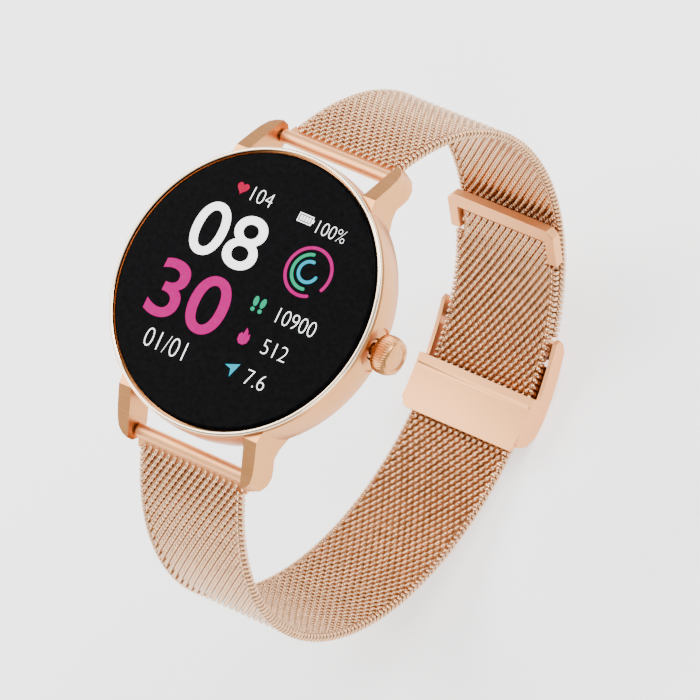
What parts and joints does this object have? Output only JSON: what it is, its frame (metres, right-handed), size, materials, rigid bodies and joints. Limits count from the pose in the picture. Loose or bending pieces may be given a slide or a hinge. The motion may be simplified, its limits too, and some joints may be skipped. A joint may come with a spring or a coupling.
{
  "type": "smartwatch",
  "caption": "Round smartwatch with a domed display, a turning and pressing crown and a woven-mesh loop strap with a sliding lever clasp.",
  "frame": {"origin": "centre of the flat rear face of the sensor window, which rests on the wrist", "axes": "+Z out of the display, +Y towards 12 o'clock, +X towards 3 o'clock and the crown"},
  "size_m": [0.0459, 0.079, 0.0763],
  "materials": {
    "rose_gold_satin": "satin",
    "rose_gold_polished": "polished",
    "rose_gold_mesh": "woven wire, satin",
    "steel": "satin",
    "gold_contact": "plated",
    "cover_glass": "polished, black printed border",
    "sensor_glass": "polished",
    "rubber": "matte",
    "black_plastic": "gloss",
    "dark_plastic": "fine matte",
    "circuit_board": "solder mask",
    "battery_foil": "foil",
    "led_lens": "clear"
  },
  "bodies": {
    "watch_head": {"case_body": "rose_gold_satin", "bezel_ring": "rose_gold_polished", "glass_lens": "cover_glass", "lens_gasket": "rubber", "display_panel": "black_plastic", "mid_frame": "dark_plastic", "main_board": "circuit_board", "processor_shield": "steel", "battery": "battery_foil", "vibration_motor": "steel", "sensor_board": "circuit_board", "heart_led": "led_lens", "photodiode_left": "black_plastic", "photodiode_right": "black_plastic", "sensor_window": "sensor_glass", "rear_cover": "dark_plastic", "rear_gasket": "rubber", "rear_screw_1": "steel", "rear_screw_2": "steel", "rear_screw_3": "steel", "rear_screw_4": "steel", "charge_contact_left": "gold_contact", "charge_contact_right": "gold_contact", "crown_tube": "steel", "crown_seal": "rubber", "crown_switch": "black_plastic", "spring_bar_12": "steel", "spring_bar_6": "steel"},
    "crown_plunger": {"crown_stem": "steel"},
    "crown_knob": {"crown_head": "rose_gold_satin"},
    "upper_strap_1": {"strap_end_12": "rose_gold_polished", "upper_mesh_1": "rose_gold_mesh"},
    "upper_strap_2": {"upper_mesh_2": "rose_gold_mesh"},
    "upper_strap_3": {"upper_mesh_3": "rose_gold_mesh", "clasp_link": "rose_gold_polished"},
    "lower_strap_1": {"strap_end_6": "rose_gold_polished", "lower_mesh_1": "rose_gold_mesh"},
    "lower_strap_2": {"lower_mesh_2": "rose_gold_mesh"},
    "lower_strap_3": {"lower_mesh_3": "rose_gold_mesh"},
    "free_end": {"lower_mesh_4": "rose_gold_mesh", "end_cap": "rose_gold_polished"},
    "clasp": {"clasp_base": "rose_gold_polished", "lever_pin": "steel", "strap_pin": "steel"},
    "clasp_lever": {"clasp_lever": "rose_gold_satin"}
  },
  "joints": [
    {"name": "crown_press", "type": "slide", "parent": "watch_head", "child": "crown_plunger", "axis": [-1, 0, 0], "range_m": [0, 0.0005], "stiffness_N_per_m": 1200, "springref_m": -0.0006},
    {"name": "crown_spin", "type": "hinge", "parent": "crown_plunger", "child": "crown_knob", "pos_m": [0.0231, 0, 0.0045], "axis": [1, 0, 0], "continuous": true},
    {"name": "strap_12_hinge", "type": "hinge", "parent": "watch_head", "child": "upper_strap_1", "pos_m": [0, 0.02325, 0.0017], "axis": [1, 0, 0], "range_deg": [0, 70]},
    {"name": "upper_flex_1", "type": "hinge", "parent": "upper_strap_1", "child": "upper_strap_2", "pos_m": [0, 0.03765, -0.01887], "axis": [1, 0, 0], "range_deg": [0, 20]},
    {"name": "upper_flex_2", "type": "hinge", "parent": "upper_strap_2", "child": "upper_strap_3", "pos_m": [0, 0.03545, -0.0434], "axis": [1, 0, 0], "range_deg": [0, 20]},
    {"name": "strap_6_hinge", "type": "hinge", "parent": "watch_head", "child": "lower_strap_1", "pos_m": [0, -0.02325, 0.0017], "axis": [1, 0, 0], "range_deg": [-70, 0]},
    {"name": "lower_flex_1", "type": "hinge", "parent": "lower_strap_1", "child": "lower_strap_2", "pos_m": [0, -0.03821, -0.02136], "axis": [1, 0, 0], "range_deg": [0, 15]},
    {"name": "lower_flex_2", "type": "hinge", "parent": "lower_strap_2", "child": "lower_strap_3", "pos_m": [0, -0.03217, -0.04806], "axis": [1, 0, 0], "range_deg": [0, 15]},
    {"name": "free_end_flex", "type": "hinge", "parent": "lower_strap_3", "child": "free_end", "pos_m": [0, 0.014, -0.06165], "axis": [1, 0, 0], "range_deg": [0, 25]},
    {"name": "clasp_travel", "type": "hinge", "parent": "lower_strap_3", "child": "clasp", "pos_m": [0, 0, -0.02274], "axis": [1, 0, 0], "range_deg": [-8, 0]},
    {"name": "lever_hinge", "type": "hinge", "parent": "clasp", "child": "clasp_lever", "pos_m": [0, 0.0046, -0.06531], "axis": [-1, 0, 0], "range_deg": [0, 60]}
  ],
  "couplings": [
    {"joint": "strap_6_hinge", "follows": "strap_12_hinge", "ratio": -1}
  ]
}
